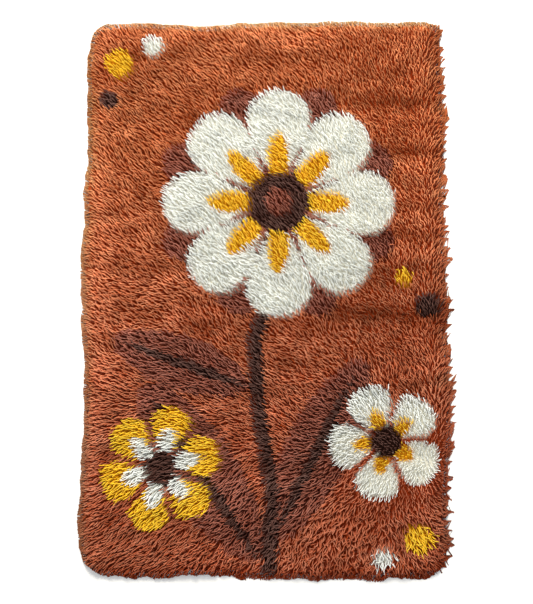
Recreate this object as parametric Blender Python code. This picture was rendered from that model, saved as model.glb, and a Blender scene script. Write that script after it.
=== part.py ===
"""Rya rug laid flat: a woven ground cloth under one deep, leaning wool pile.

Metres, +Z up. The origin is on the floor under the middle of the rug, +Y runs along its
length and +X across its width. The ground cloth is one flat sheet. The pile is one lumpy
slab over it, soft at the edge, with locks of yarn that spill over the rim to the floor.
"""

import math
import random

import bmesh
import bpy
from mathutils import Matrix, Vector, noise

# Overall sizes over the tips of the pile, and how far inside them the even outline runs.
RUG_WIDTH = 0.790
RUG_LENGTH = 1.200
TIP_MARGIN = 0.005

# The ground cloth, and the gap that keeps it a separate solid.
GROUND_THICKNESS = 0.0025
GROUND_INSET = 0.026
SOLID_GAP = 0.0003

# The lay of the pile: its height in the middle and at the rim, and how wide the soft edge is.
PILE_HEIGHT = 0.0240
RIM_TOP_HEIGHT = 0.0165
RIM_MIDDLE_HEIGHT = 0.0092
PILE_BASE = GROUND_THICKNESS + SOLID_GAP
SOFT_EDGE = 0.042

# How far each ring of the rim stands in from the outline that the locks reach.
RIM_TOP_INSET = 0.0150
RIM_MIDDLE_INSET = 0.0135
RIM_BASE_INSET = 0.0190

# Lumps of the pile: a broad swell, the clumps of single knots, and their sideways shuffle.
SWELL_HEIGHT = 0.0036
SWELL_LENGTH = 0.150
CLUMP_HEIGHT = 0.0062
CLUMP_LENGTH = 0.034
CLUMP_SHUFFLE = 0.0045
SWELL_PLANE = 0.3
CLUMP_PLANE = 1.7
SHUFFLE_PLANE = 5.0

# Cells of the slab across and along, and with them the number of locks at the rim.
CELLS_ACROSS = 40
CELLS_ALONG = 60
OUTLINE_HOLD = 7.0
CLOTH_STEPS = 36
SEED = 7

GROUND_COLOUR = (0.52, 0.43, 0.31, 1.0)
PILE_COLOUR = (0.33, 0.092, 0.030, 1.0)

# Corner radii of the outline, by the signs of x and y.
CORNER_RADIUS = {
    (-1, 1): 0.038,
    (1, 1): 0.026,
    (-1, -1): 0.046,
    (1, -1): 0.056,
}

# Unevenness of each edge: place along the edge, then how far it stands out there.
LEFT_EDGE = (
    (-0.60, -0.002),
    (-0.48, 0.003),
    (-0.35, -0.001),
    (-0.28, -0.006),
    (-0.16, -0.006),
    (-0.09, 0.001),
    (0.04, 0.006),
    (0.10, 0.005),
    (0.16, 0.000),
    (0.23, 0.001),
    (0.29, -0.005),
    (0.42, -0.001),
    (0.49, 0.001),
    (0.60, -0.006),
)
RIGHT_EDGE = (
    (-0.60, -0.007),
    (-0.48, -0.002),
    (-0.41, -0.005),
    (-0.35, 0.002),
    (-0.22, 0.006),
    (-0.16, 0.004),
    (-0.09, -0.002),
    (-0.03, 0.004),
    (0.10, 0.000),
    (0.23, -0.003),
    (0.29, 0.003),
    (0.42, 0.001),
    (0.49, -0.005),
    (0.60, -0.001),
)
TOP_EDGE = (
    (-0.40, 0.001),
    (-0.27, 0.003),
    (-0.20, -0.001),
    (-0.14, -0.004),
    (-0.02, 0.000),
    (0.18, 0.002),
    (0.40, 0.000),
)
BOTTOM_EDGE = (
    (-0.40, -0.002),
    (-0.20, 0.003),
    (-0.14, -0.003),
    (-0.07, -0.004),
    (0.05, 0.001),
    (0.12, 0.003),
    (0.18, -0.001),
    (0.25, 0.001),
    (0.40, -0.004),
)

# Soft troughs across the pile: middle x and y, half length along x, half width along y, depth.
CREASES = (
    (0.270, 0.398, 0.150, 0.014, 0.0068),
    (0.300, 0.300, 0.110, 0.013, 0.0048),
    (0.030, 0.376, 0.120, 0.013, 0.0042),
    (0.310, 0.110, 0.100, 0.014, 0.0048),
    (-0.200, 0.505, 0.090, 0.016, 0.0044),
    (0.330, -0.150, 0.080, 0.014, 0.0046),
    (-0.240, -0.345, 0.190, 0.018, 0.0050),
    (0.090, -0.362, 0.160, 0.018, 0.0044),
)

# Which way the pile leans: place x and y, then the heading of the tips in degrees from +X.
PILE_LAY = (
    (-0.35, 0.52, 140),
    (0.00, 0.52, 137),
    (0.27, 0.54, 108),
    (0.38, 0.50, 80),
    (-0.35, 0.22, 143),
    (0.00, 0.22, 138),
    (0.24, 0.22, 136),
    (0.37, 0.22, 66),
    (-0.35, -0.06, 152),
    (0.00, -0.06, 137),
    (0.24, -0.06, 132),
    (0.37, -0.06, 55),
    (-0.35, -0.27, 178),
    (0.00, -0.27, 152),
    (0.24, -0.27, 140),
    (0.37, -0.27, 40),
    (-0.35, -0.42, 210),
    (0.00, -0.42, 217),
    (0.22, -0.42, 232),
    (0.36, -0.42, 312),
    (-0.35, -0.55, 222),
    (0.00, -0.55, 228),
    (0.20, -0.56, 264),
    (0.36, -0.56, 308),
)
LAY_SPREAD = 0.085

# Locks at the rim, by edge: how far they reach, how much that varies, and how much they follow
# the lay of the pile rather than pointing straight out.
RIM_LOCKS = {
    "left": (0.0140, 0.20, 0.45),
    "right": (0.0165, 0.42, 0.50),
    "top": (0.0140, 0.18, 0.35),
    "bottom": (0.0150, 0.28, 0.45),
}
LOCK_TURN = 5.0

# Sections of a lock: share of its reach, share of its root's width, then the heights of its
# underside and its back there. The lower locks lie level on the floor.
LOWER_LOCK_SECTIONS = (
    (0.55, 0.80, 0.0000, 0.0062),
    (1.00, 0.34, 0.0000, 0.0032),
)
UPPER_LOCK_SECTIONS = ((0.66, 0.32, 0.0082, 0.0106),)
UPPER_LOCK_SHARE = 0.36


def clear_scene():
    """Remove every object, so that the file starts empty."""
    for obj in list(bpy.data.objects):
        bpy.data.objects.remove(obj, do_unlink=True)


def new_collection(name):
    collection = bpy.data.collections.new(name)
    bpy.context.scene.collection.children.link(collection)
    return collection


def wool_material(name, colour):
    """A plain woollen finish for the solids."""
    material = bpy.data.materials.new(name)
    material.use_nodes = True
    shader = material.node_tree.nodes["Principled BSDF"]
    shader.inputs["Base Color"].default_value = colour
    shader.inputs["Roughness"].default_value = 0.95
    shader.inputs["Metallic"].default_value = 0.0
    material.diffuse_color = colour
    return material


def along_table(table, place):
    """Read an edge table at a place, eased between its stations."""
    if place <= table[0][0]:
        return table[0][1]
    for (start, low), (end, high) in zip(table, table[1:]):
        if place <= end:
            share = (place - start) / (end - start)
            eased = share * share * (3.0 - 2.0 * share)
            return low + (high - low) * eased
    return table[-1][1]


def outline_point(u, v, inset):
    """Point and outward normal on the rug's outline, for (u, v) on the border of a square."""
    half_width = RUG_WIDTH / 2.0 - TIP_MARGIN
    half_length = RUG_LENGTH / 2.0 - TIP_MARGIN
    side_x = 1 if u >= 0.0 else -1
    side_y = 1 if v >= 0.0 else -1
    radius = CORNER_RADIUS[(side_x, side_y)]
    x = abs(u) * half_width
    y = abs(v) * half_length
    past_x = x - (half_width - radius)
    past_y = y - (half_length - radius)
    if past_x > 0.0 and past_y > 0.0:
        normal = Vector((past_x, past_y)).normalized()
        x = half_width - radius + normal.x * radius
        y = half_length - radius + normal.y * radius
    elif abs(u) >= abs(v):
        normal = Vector((1.0, 0.0))
    else:
        normal = Vector((0.0, 1.0))
    point = Vector((x * side_x, y * side_y))
    normal = Vector((normal.x * side_x, normal.y * side_y))
    across = along_table(RIGHT_EDGE if side_x > 0 else LEFT_EDGE, point.y)
    along = along_table(TOP_EDGE if side_y > 0 else BOTTOM_EDGE, point.x)
    uneven = across * normal.x**2 + along * normal.y**2
    return point + normal * (uneven - inset), normal


def place_in_outline(u, v, inset):
    """Spread a square's point over the rug, so that its border follows the outline."""
    half_width = RUG_WIDTH / 2.0 - TIP_MARGIN - inset
    half_length = RUG_LENGTH / 2.0 - TIP_MARGIN - inset
    even = Vector((u * half_width, v * half_length))
    reach = max(abs(u), abs(v))
    if reach == 0.0:
        return even
    border, _ = outline_point(u / reach, v / reach, inset)
    pull = border - even / reach
    return even + pull * reach**OUTLINE_HOLD


def lay_heading(x, y):
    """Unit vector of the pile's lean at a place, from the table of the lay."""
    total = Vector((0.0, 0.0))
    for row_x, row_y, degrees in PILE_LAY:
        distance = math.hypot(x - row_x, y - row_y)
        weight = math.exp(-((distance / (2.0 * LAY_SPREAD)) ** 2)) + 1e-6
        angle = math.radians(degrees)
        total += Vector((math.cos(angle), math.sin(angle))) * weight
    return total.normalized()


def crease_depth(x, y):
    """How far the troughs lower the pile at a place."""
    depth = 0.0
    for middle_x, middle_y, half_length, half_width, deep in CREASES:
        off_x = (x - middle_x) / half_length
        off_y = (y - middle_y) / half_width
        depth = max(depth, deep * math.exp(-(off_x**4) - off_y**2))
    return depth


def pile_top(x, y, from_rim):
    """Height of the pile: rounded off at the rim, lumpy and creased in the middle."""
    rise = min(1.0, from_rim / SOFT_EDGE)
    height = RIM_TOP_HEIGHT + (PILE_HEIGHT - RIM_TOP_HEIGHT) * (1.0 - (1.0 - rise) ** 2)
    swell = noise.noise(Vector((x, y, SWELL_PLANE)) / SWELL_LENGTH) * SWELL_HEIGHT
    clump = noise.noise(Vector((x, y, CLUMP_PLANE)) / CLUMP_LENGTH) * CLUMP_HEIGHT
    return height + swell + clump - crease_depth(x, y) * rise


def build_ground_cloth(collection, material):
    """The woven ground: one flat sheet, with the edges as uneven as the rug's."""
    curve = bpy.data.curves.new("ground_cloth", "CURVE")
    curve.dimensions = "2D"
    curve.fill_mode = "BOTH"
    curve.extrude = GROUND_THICKNESS / 2.0
    spline = curve.splines.new("POLY")
    spline.points.add(4 * CLOTH_STEPS - 1)
    for index, spline_point in enumerate(spline.points):
        side, step = divmod(index, CLOTH_STEPS)
        share = 2.0 * step / CLOTH_STEPS - 1.0
        u, v = ((share, -1.0), (1.0, share), (-share, 1.0), (-1.0, -share))[side]
        point, _ = outline_point(u, v, GROUND_INSET)
        spline_point.co = (point.x, point.y, 0.0, 1.0)
    spline.use_cyclic_u = True
    cloth = bpy.data.objects.new("ground_cloth", curve)
    cloth.location.z = GROUND_THICKNESS / 2.0
    curve.materials.append(material)
    collection.objects.link(cloth)
    return cloth


def add_rim(mesh, square):
    """Walls of the slab in two bands under its border, and the flat base; returns the bands."""
    bands = []
    ring = [edge for edge in mesh.edges if edge.is_boundary]
    for inset, height in ((RIM_MIDDLE_INSET, RIM_MIDDLE_HEIGHT), (RIM_BASE_INSET, PILE_BASE)):
        made = bmesh.ops.extrude_edge_only(mesh, edges=ring)["geom"]
        for vert in made:
            if isinstance(vert, bmesh.types.BMVert):
                point, _ = outline_point(vert[square].x, vert[square].y, inset)
                vert.co = (point.x, point.y, height)
        bands.append([face for face in made if isinstance(face, bmesh.types.BMFace)])
        ring = [edge for edge in made if isinstance(edge, bmesh.types.BMEdge) and edge.is_boundary]
    bmesh.ops.edgeloop_fill(mesh, edges=ring)
    return bands


def lock_habit(outward):
    """Reach, variation and lean of the locks that face a way, eased from edge to edge."""
    side = RIM_LOCKS["right" if outward.x > 0.0 else "left"]
    end = RIM_LOCKS["top" if outward.y > 0.0 else "bottom"]
    share = outward.x**2
    return [a * share + b * (1.0 - share) for a, b in zip(side, end)]


def grow_lock(mesh, face, sections, dice):
    """Draw one lock out of a face of the rim, section by section."""
    root = face.calc_center_median()
    outward = face.normal.xy.normalized()
    reach, varies, follow = lock_habit(outward)
    reach *= 1.0 + dice.uniform(-varies, varies)
    heading = outward * (1.0 - follow) + lay_heading(root.x, root.y) * follow
    heading.rotate(Matrix.Rotation(math.radians(dice.uniform(-LOCK_TURN, LOCK_TURN)), 2))
    heading.normalize()
    last_width = 1.0
    for share, width, low, high in sections:
        face = bmesh.ops.extrude_discrete_faces(mesh, faces=[face])["faces"][0]
        here = face.calc_center_median()
        for vert in face.verts:
            across = (vert.co - here).xy * (width / last_width)
            place = root.xy + heading * reach * share + across
            vert.co = (place.x, place.y, low if vert.co.z < here.z else high)
        last_width = width


def build_pile(collection, material):
    """The pile: a lumpy slab with a soft edge, and locks drawn out of its rim."""
    bpy.ops.mesh.primitive_grid_add(
        x_subdivisions=CELLS_ACROSS, y_subdivisions=CELLS_ALONG, size=2.0
    )
    pile = bpy.context.object
    pile.name = "pile"
    pile.data.name = "pile"
    mesh = bmesh.new()
    mesh.from_mesh(pile.data)
    square = mesh.verts.layers.float_vector.new("square")
    for vert in mesh.verts:
        u, v = vert.co.x, vert.co.y
        vert[square] = (u, v, 0.0)
        place = place_in_outline(u, v, RIM_TOP_INSET)
        from_rim = min((1.0 - abs(u)) * RUG_WIDTH, (1.0 - abs(v)) * RUG_LENGTH) / 2.0
        if not vert.is_boundary:
            shuffle = noise.noise_vector(Vector((place.x, place.y, SHUFFLE_PLANE)) / CLUMP_LENGTH)
            place += shuffle.xy * CLUMP_SHUFFLE
        vert.co = (place.x, place.y, pile_top(place.x, place.y, from_rim))
    upper_band, lower_band = add_rim(mesh, square)
    bmesh.ops.recalc_face_normals(mesh, faces=mesh.faces)
    dice = random.Random(SEED)
    for face in lower_band:
        grow_lock(mesh, face, LOWER_LOCK_SECTIONS, dice)
    for face in upper_band:
        if dice.random() < UPPER_LOCK_SHARE:
            grow_lock(mesh, face, UPPER_LOCK_SECTIONS, dice)
    bmesh.ops.recalc_face_normals(mesh, faces=mesh.faces)
    mesh.verts.layers.float_vector.remove(square)
    mesh.to_mesh(pile.data)
    mesh.free()
    pile.data.shade_smooth()
    pile.data.materials.append(material)
    for other in list(pile.users_collection):
        other.objects.unlink(pile)
    collection.objects.link(pile)
    return pile


def fit_to_size(pile, cloth):
    """Trim the overall size and the middle to the driving sizes, once the locks are drawn."""
    low = [min(vert.co[axis] for vert in pile.data.vertices) for axis in range(2)]
    high = [max(vert.co[axis] for vert in pile.data.vertices) for axis in range(2)]
    grow_x = RUG_WIDTH / (high[0] - low[0])
    grow_y = RUG_LENGTH / (high[1] - low[1])
    to_middle = Matrix.Translation((-(low[0] + high[0]) / 2.0, -(low[1] + high[1]) / 2.0, 0.0))
    fit = Matrix.Diagonal((grow_x, grow_y, 1.0, 1.0)) @ to_middle
    pile.data.transform(fit)
    cloth.data.transform(fit)


def main():
    clear_scene()
    rug = new_collection("rya_rug")
    cloth = build_ground_cloth(rug, wool_material("undyed_ground", GROUND_COLOUR))
    pile = build_pile(rug, wool_material("rust_yarn", PILE_COLOUR))
    fit_to_size(pile, cloth)


main()
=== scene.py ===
# %% [markdown]
# # A rya rug
# A rya is a rug with a long wool pile. Short lengths of yarn are knotted in rows through a
# woven ground, and the pile is so long that it lies down in one direction like grass after
# rain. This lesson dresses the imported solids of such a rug: a flat ground cloth, and one lumpy
# slab that stands for the whole pile.
#
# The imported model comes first. Its slab already has the right outline, lumps and soft edge, so
# every tuft made below takes its place and its height from it.

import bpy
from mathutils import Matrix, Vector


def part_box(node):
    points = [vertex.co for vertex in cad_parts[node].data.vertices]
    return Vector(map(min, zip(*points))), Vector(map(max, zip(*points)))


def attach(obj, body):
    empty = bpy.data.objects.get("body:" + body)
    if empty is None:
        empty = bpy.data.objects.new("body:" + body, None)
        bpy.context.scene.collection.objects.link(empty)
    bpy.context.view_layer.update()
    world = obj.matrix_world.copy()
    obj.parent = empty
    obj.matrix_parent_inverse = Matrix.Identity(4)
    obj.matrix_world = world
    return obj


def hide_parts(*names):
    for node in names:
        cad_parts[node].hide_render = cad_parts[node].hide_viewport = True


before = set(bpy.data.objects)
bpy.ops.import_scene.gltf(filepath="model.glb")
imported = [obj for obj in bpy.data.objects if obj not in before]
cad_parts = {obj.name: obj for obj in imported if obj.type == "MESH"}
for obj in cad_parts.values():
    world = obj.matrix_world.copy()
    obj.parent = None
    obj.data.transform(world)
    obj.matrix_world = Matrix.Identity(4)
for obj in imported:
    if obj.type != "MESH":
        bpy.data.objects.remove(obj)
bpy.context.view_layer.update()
print("solids:", sorted(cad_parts))

# %% Modules
import math

import bmesh
import bpy
import numpy as np
from mathutils import Vector
from mathutils.bvhtree import BVHTree

# %% [markdown]
# ## The camera
# The rug is seen from almost straight above, a little from its near end, so that its near edge
# looks slightly longer than its far one. A long lens keeps that effect small.

# %% Camera
def place_object(name, data):
    """A new object in the scene that holds the given data."""
    made = bpy.data.objects.new(name, data)
    bpy.context.scene.collection.objects.link(made)
    return made


VIEW_HEIGHT_DEG = 85.0
VIEW_DISTANCE = 2.10
VIEW_LENS = 59.5
VIEW_TARGET = Vector((0.0, -0.017, 0.012))

lens = bpy.data.cameras.new("camera")
lens.lens = VIEW_LENS
camera = place_object("camera", lens)
elevation = math.radians(VIEW_HEIGHT_DEG)
backwards = Vector((0.0, -math.cos(elevation), math.sin(elevation)))
camera.location = VIEW_TARGET + backwards * VIEW_DISTANCE
camera.rotation_euler = backwards.to_track_quat("Z", "Y").to_euler()
bpy.context.scene.camera = camera
print("camera at", [round(c, 3) for c in camera.location])

# %% [markdown]
# ## Floor and light
# A plain pale floor, a white sky for the soft part of the light, and one large soft lamp past
# the rug's far end. The lamp gives each tuft a light side and a shadow, and it makes the far
# rim of the rug lighter than the near one.

# %% Floor
def plain_material(name, roughness, gloss):
    """A material that has only its shader yet: the material, its tree and the shader."""
    material = bpy.data.materials.new(name)
    material.use_nodes = True
    shader = material.node_tree.nodes["Principled BSDF"]
    shader.inputs["Roughness"].default_value = roughness
    shader.inputs["Specular IOR Level"].default_value = gloss
    return material, material.node_tree, shader


FLOOR_SIZE = 12.0
FLOOR_COLOUR = (0.93, 0.93, 0.925, 1.0)

bpy.context.scene.view_settings.view_transform = "Standard"

floor_mesh = bmesh.new()
bmesh.ops.create_grid(floor_mesh, x_segments=1, y_segments=1, size=FLOOR_SIZE / 2.0)
floor_data = bpy.data.meshes.new("floor")
floor_mesh.to_mesh(floor_data)
floor_mesh.free()
floor = place_object("floor", floor_data)
floor_paint, _, floor_shader = plain_material("pale_floor", roughness=0.9, gloss=0.1)
floor_shader.inputs["Base Color"].default_value = FLOOR_COLOUR
floor_data.materials.append(floor_paint)
print("floor", FLOOR_SIZE, "m wide")

# %% Lights
SKY_STRENGTH = 0.76
SKY_COLOUR = (0.965, 0.985, 1.0, 1.0)
LAMP_POWER = 130.0
LAMP_COLOUR = (1.0, 0.94, 0.82)
LAMP_SIZE = 1.0
LAMP_PLACE = Vector((-0.50, 2.20, 2.30))

world = bpy.data.worlds.new("studio")
world.use_nodes = True
sky = world.node_tree.nodes["Background"]
sky.inputs["Color"].default_value = SKY_COLOUR
sky.inputs["Strength"].default_value = SKY_STRENGTH
bpy.context.scene.world = world

lamp_data = bpy.data.lights.new("soft_lamp", "AREA")
lamp_data.energy = LAMP_POWER
lamp_data.color = LAMP_COLOUR
lamp_data.size = LAMP_SIZE
lamp = place_object("soft_lamp", lamp_data)
lamp.location = LAMP_PLACE
# The lamp shines along its own -Z, so +Z points away from the rug's middle.
lamp.rotation_euler = LAMP_PLACE.to_track_quat("Z", "Y").to_euler()
print("sky", SKY_STRENGTH, "lamp", LAMP_POWER, "W")

# %% [markdown]
# ## Reading the slab
# The pile's slab is read once as a map of heights, by casting a ray straight down every few
# millimetres. The map answers three questions: where the rug ends, which way is out, and how
# high the tufts may stand at any place, lumps and creases included.

# %% Height map of the pile
MAP_STEP = 0.004
MAP_MARGIN = 0.040
OUTLINE_FOOT = 0.0005
RAY_START = 0.2

slab = BVHTree.FromObject(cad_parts["pile"], bpy.context.evaluated_depsgraph_get())
low_corner, high_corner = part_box("pile")
map_x = np.arange(low_corner[0] - MAP_MARGIN, high_corner[0] + MAP_MARGIN, MAP_STEP)
map_y = np.arange(low_corner[1] - MAP_MARGIN, high_corner[1] + MAP_MARGIN, MAP_STEP)
heights = np.zeros((len(map_y), len(map_x)))
down = Vector((0.0, 0.0, -1.0))
for row, y in enumerate(map_y):
    for column, x in enumerate(map_x):
        hit = slab.ray_cast(Vector((x, y, RAY_START)), down)[0]
        if hit is not None:
            heights[row, column] = hit.z
print("height map", heights.shape, "highest", round(float(heights.max()), 4))


# %% Soften a map
def soften(values, reach):
    """Blur a map with a bell of the given reach in metres."""
    half = int(3.0 * reach / MAP_STEP)
    bell = np.exp(-0.5 * (np.arange(-half, half + 1) * MAP_STEP / reach) ** 2)
    bell /= bell.sum()
    padded = np.pad(values, half, mode="edge")
    across = np.apply_along_axis(np.convolve, 1, padded, bell, mode="valid")
    return np.apply_along_axis(np.convolve, 0, across, bell, mode="valid")


def read_map(values, x, y):
    """Read a map at any places, blended between its four nearest points."""
    column = np.clip((x - map_x[0]) / MAP_STEP, 0, len(map_x) - 1.001)
    row = np.clip((y - map_y[0]) / MAP_STEP, 0, len(map_y) - 1.001)
    left, below = column.astype(int), row.astype(int)
    right_share, up_share = column - left, row - below
    low = values[below, left] * (1 - right_share) + values[below, left + 1] * right_share
    high = values[below + 1, left] * (1 - right_share) + values[below + 1, left + 1] * right_share
    return low * (1 - up_share) + high * up_share


# %% Maps of the slab
# How far each map is blurred. The relief is the height less the height of a wide surrounding.
INSIDE_BLUR = 0.010
ENVELOPE_BLUR = 0.005
RELIEF_BLURS = (0.006, 0.028)
SLOPE_BLUR = 0.010

inside_map = (heights > OUTLINE_FOOT).astype(float)
smooth_inside = soften(inside_map, INSIDE_BLUR)
envelope_map = soften(heights, ENVELOPE_BLUR)
relief_map = soften(heights, RELIEF_BLURS[0]) - soften(heights, RELIEF_BLURS[1])
slope_y_map = np.gradient(soften(heights, SLOPE_BLUR), MAP_STEP, axis=0)
print("pile covers", round(float(inside_map.sum()) * MAP_STEP**2, 3), "square metres")


# %% Distance from the rim
OUT_BLUR = 0.008


def rim_points():
    """Points on the rug's rim, where the softened map of its inside passes a half."""
    found = []
    for row, y in enumerate(map_y):
        values = smooth_inside[row] - 0.5
        for column in np.nonzero(values[:-1] * values[1:] < 0.0)[0]:
            share = values[column] / (values[column] - values[column + 1])
            found.append((map_x[column] + share * MAP_STEP, y))
    for column, x in enumerate(map_x):
        values = smooth_inside[:, column] - 0.5
        for row in np.nonzero(values[:-1] * values[1:] < 0.0)[0]:
            share = values[row] / (values[row] - values[row + 1])
            found.append((x, map_y[row] + share * MAP_STEP))
    return np.array(found)


rim = rim_points()
past_rim_map = np.empty_like(heights)
for row, y in enumerate(map_y):
    gaps = np.hypot(map_x[:, None] - rim[None, :, 0], y - rim[None, :, 1]).min(axis=1)
    past_rim_map[row] = np.where(smooth_inside[row] > 0.5, -gaps, gaps)
out_y_map, out_x_map = np.gradient(soften(past_rim_map, OUT_BLUR), MAP_STEP)
print(len(rim), "points round the rim")

# %% [markdown]
# ## The lay of the pile
# On a used rya the tufts lean together, and the lean turns slowly from place to place. A short
# table gives it at two dozen places: where the tips point, how much of their length shows, how
# unruly they are and how much light and shade is painted on them. Between these places the
# values are blended, and a slow wander is added so that the tufts flow in whorls.

# %% Table of the lay
# Columns: x, y, heading of the tips in degrees from +X, reach of the tuft in metres, spread of
# the headings in degrees, and brightness, which is light and shade painted on the tufts.
PILE_LAY = (
    (-0.35, 0.52, 140, 0.0135, 12, 1.16),
    (0.00, 0.52, 137, 0.0130, 13, 1.38),
    (0.27, 0.54, 120, 0.0115, 14, 1.30),
    (0.38, 0.50, 105, 0.0115, 18, 1.32),
    (-0.35, 0.22, 143, 0.0140, 13, 1.40),
    (0.00, 0.22, 138, 0.0130, 12, 1.34),
    (0.24, 0.22, 134, 0.0115, 14, 1.50),
    (0.37, 0.22, 120, 0.0120, 18, 1.60),
    (-0.35, -0.06, 150, 0.0150, 18, 1.40),
    (0.00, -0.06, 137, 0.0140, 16, 1.24),
    (0.24, -0.06, 132, 0.0125, 16, 1.22),
    (0.37, -0.06, 115, 0.0140, 18, 1.20),
    (-0.35, -0.27, 176, 0.0175, 13, 1.12),
    (0.00, -0.27, 152, 0.0165, 13, 1.18),
    (0.24, -0.27, 138, 0.0165, 16, 1.30),
    (0.37, -0.27, 95, 0.0175, 18, 1.34),
    (-0.35, -0.42, 208, 0.0185, 11, 0.94),
    (-0.25, -0.50, 212, 0.0185, 11, 0.84),
    (0.00, -0.42, 217, 0.0185, 12, 1.10),
    (0.22, -0.42, 236, 0.0180, 22, 1.04),
    (0.36, -0.42, 312, 0.0195, 18, 0.90),
    (-0.35, -0.55, 220, 0.0180, 10, 0.78),
    (0.00, -0.55, 230, 0.0160, 36, 1.00),
    (0.20, -0.56, 264, 0.0155, 42, 0.94),
    (0.36, -0.56, 308, 0.0180, 22, 0.72),
)
print(len(PILE_LAY), "places in the table of the lay")


# %% A slow wander
# Lengths of the waves in metres, how many there are of each, how fast the short ones fade, and
# the value that brings their sum back to about one.
WANDER_LENGTHS = (0.21, 0.083, 0.047)
WAVES_PER_LENGTH = 4
WANDER_FALL = 0.35
WANDER_SCALE = 3.4


def wander(x, y, seed):
    """A slow smooth wander between about -1 and 1, from a few crossed waves."""
    dice = np.random.default_rng(seed)
    total = np.zeros_like(x)
    for length in WANDER_LENGTHS:
        for _ in range(WAVES_PER_LENGTH):
            angle, phase = dice.uniform(0, 2 * math.pi, 2)
            along = x * math.cos(angle) + y * math.sin(angle)
            weight = (length / WANDER_LENGTHS[0]) ** WANDER_FALL
            total += np.sin(along * 2 * math.pi / length + phase) * weight
    return total / WANDER_SCALE


# %% Lay at any place
# How far each row of the table is felt, in metres, and how much the wander turns the tufts.
LAY_SPREAD = 0.13
WANDER_DEG = 14.0
# Where the blended headings disagree the tufts stand up, and less of their length shows.
AGREEMENT_GAIN = 1.2
LEAST_AGREEMENT = 0.45


def lay_at(x, y):
    """Heading as a unit vector, reach, unruliness in radians and brightness at any places."""
    weights = np.zeros((len(PILE_LAY), len(x)))
    for index, row in enumerate(PILE_LAY):
        square = (x - row[0]) ** 2 + (y - row[1]) ** 2
        weights[index] = np.exp(-square / LAY_SPREAD**2) + 1e-6
    weights /= weights.sum(axis=0)
    headings = np.radians([row[2] for row in PILE_LAY])
    lean_x = np.cos(headings) @ weights
    lean_y = np.sin(headings) @ weights
    turn = np.arctan2(lean_y, lean_x) + np.radians(WANDER_DEG) * wander(x, y, seed=3)
    agreed = np.clip(np.hypot(lean_x, lean_y) * AGREEMENT_GAIN, LEAST_AGREEMENT, 1.0)
    reach = np.array([row[3] for row in PILE_LAY]) @ weights * agreed
    unruly = np.radians([row[4] for row in PILE_LAY]) @ weights
    bright = np.array([row[5] for row in PILE_LAY]) @ weights
    return np.cos(turn), np.sin(turn), reach, unruly, bright


# %% [markdown]
# ## The rim
# At the rim the tufts turn outwards and end in a ragged line. On the right side they hang
# together in points, as long pile does when it is combed over an edge, and at a few places the
# rim draws back. All but those few places is worked out from the nearest side of the rug.

# %% Habits of the rim
# For the right side, the near side and the others: over what width the tufts turn outwards, by
# what share, and how ragged their ends are.
RIGHT_RIM = (0.048, 0.72, 0.0042)
NEAR_RIM = (0.030, 0.66, 0.0032)
OTHER_RIM = (0.024, 0.52, 0.0013)
# A place is of a side once the way out points there by more than 0.4, and wholly from 0.9 on.
SIDE_GAIN, SIDE_START = 2.0, 0.8


def sides_at(x, y):
    """Whether a place belongs to the right side and whether to the near one, each from 0 to 1."""
    right = np.clip(read_map(out_x_map, x, y) * SIDE_GAIN - SIDE_START, 0.0, 1.0)
    near = np.clip(-read_map(out_y_map, x, y) * SIDE_GAIN - SIDE_START, 0.0, 1.0)
    return right, near * (1.0 - right)


def rim_habit(x, y):
    """Width of the turn, its share and the raggedness at the nearest side of the rug."""
    right, near = sides_at(x, y)
    other = 1.0 - right - near
    return [a * right + b * near + c * other for a, b, c in zip(RIGHT_RIM, NEAR_RIM, OTHER_RIM)]


# %% How far the rim spills
SIDE_SPILL = 0.0032
END_SPILL = -0.0010
CORNER_SPILL = -0.0070
# Places where the rim draws back. Columns: x, y, reach of the dip, its depth.
RIM_DIPS = (
    (-0.35, 0.60, 0.085, 0.0100),
    (-0.14, 0.60, 0.100, 0.0050),
    (-0.16, -0.60, 0.100, 0.0055),
    (-0.36, -0.58, 0.060, 0.0055),
    (-0.27, -0.60, 0.060, 0.0040),
)
# The points on the right: their length along the rim, how far they stick out, how sharp they
# are, and how unevenly they follow each other.
POINT_LENGTH = 0.024
POINT_REACH = 0.0150
POINT_SHARPNESS = 1.5
POINT_UNEVEN = 0.6
# How much finer than the lay's own the two wanders of the ragged line are.
RAGGED_SCALES = (1.6, 5.0)


def spill_line(x, y):
    """How far past the rim the tufts reach on the whole."""
    side = np.clip(np.abs(read_map(out_x_map, x, y)), 0.0, 1.0)
    corner = np.abs(2.0 * read_map(out_x_map, x, y) * read_map(out_y_map, x, y))
    spill = SIDE_SPILL * side + END_SPILL * (1.0 - side) + CORNER_SPILL * corner**2
    for dip_x, dip_y, dip_reach, depth in RIM_DIPS:
        spill -= depth * np.exp(-((x - dip_x) ** 2 + (y - dip_y) ** 2) / dip_reach**2)
    return spill


def point_share(y):
    """How far along its point a place on the right rim is: 0 at its near end, 1 at its tip."""
    turns = y / POINT_LENGTH + POINT_UNEVEN * wander(y * 0.0, y, seed=16)
    return turns - np.floor(turns)


def spill_at(x, y):
    """How far past the rim the tufts may reach at one place, with its raggedness."""
    wide, close = RAGGED_SCALES
    ragged = wander(x * wide, y * wide, seed=14) + wander(x * close, y * close, seed=15)
    points = point_share(y) ** POINT_SHARPNESS - 1.0 / (1.0 + POINT_SHARPNESS)
    return spill_line(x, y) + rim_habit(x, y)[2] * ragged + POINT_REACH * sides_at(x, y)[0] * points


rim_spill = spill_at(rim[:, 0], rim[:, 1])
print("the rim spills by", round(rim_spill.min(), 4), "to", round(rim_spill.max(), 4), "m")

# %% [markdown]
# ## The design
# The pattern is a generic one of the period: one large open flower, a smaller one, leaves and a
# few seeds, in rust, cream, gold, mauve brown and dark brown. Every shape is a petal or a disc
# in a short table, painted in order. No shape is cut into the rug: the design only decides
# which yarn each knot is tied with, so its edges are as feathered as the pile itself.

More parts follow.
